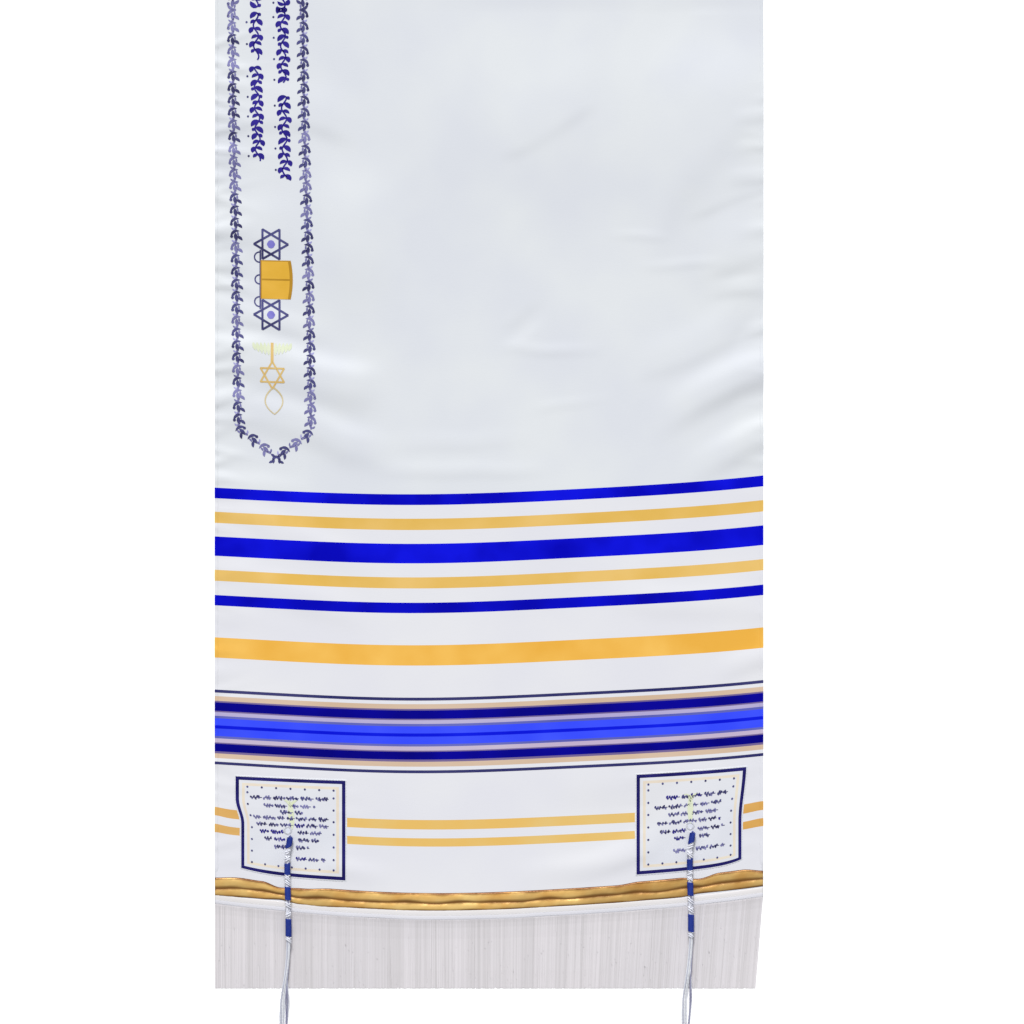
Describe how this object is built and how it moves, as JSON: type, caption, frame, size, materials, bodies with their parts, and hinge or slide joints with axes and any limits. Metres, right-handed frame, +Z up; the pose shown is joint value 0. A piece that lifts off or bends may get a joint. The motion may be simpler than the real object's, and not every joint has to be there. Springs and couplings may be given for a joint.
{
  "type": "tallit prayer shawl",
  "caption": "White satin prayer shawl laid flat, with blue, gold and tan stripes, fringed ends, printed corner patches and knotted corner tassels.",
  "frame": {"origin": "middle of the shawl as laid, on the surface that it rests on", "axes": "+X across the shawl from the neck edge to the free edge, +Y along it towards the hidden end, +Z up, away from the surface"},
  "size_m": [0.5602, 2.2778, 0.0101],
  "materials": {
    "white_satin": "white satin with woven blue, gold and tan stripes, soft sheen",
    "gold_ribbon": "puckered metallic gold ribbon",
    "white_tape": "white woven heading tape, matte",
    "fringe_threads": "fine loose rayon threads, greyish white",
    "printed_satin": "white satin with an indigo printed border and ornament",
    "white_stitches": "white stitched eyelet edge",
    "tassel_strings": "white and blue twisted wool strings, wound and knotted"
  },
  "bodies": {
    "root": {"shawl_panel": "white_satin", "gold_ribbon_shown": "gold_ribbon", "end_tape_shown": "white_tape", "fringe_shown": "fringe_threads", "corner_patch_shown_neck": "printed_satin", "eyelet_shown_neck": "white_stitches", "tzitzit_shown_neck": "tassel_strings", "corner_patch_shown_free": "printed_satin", "eyelet_shown_free": "white_stitches", "tzitzit_shown_free": "tassel_strings", "gold_ribbon_hidden": "gold_ribbon", "end_tape_hidden": "white_tape", "fringe_hidden": "fringe_threads", "corner_patch_hidden_neck": "printed_satin", "eyelet_hidden_neck": "white_stitches", "tzitzit_hidden_neck": "tassel_strings", "corner_patch_hidden_free": "printed_satin", "eyelet_hidden_free": "white_stitches", "tzitzit_hidden_free": "tassel_strings"}
  },
  "joints": []
}
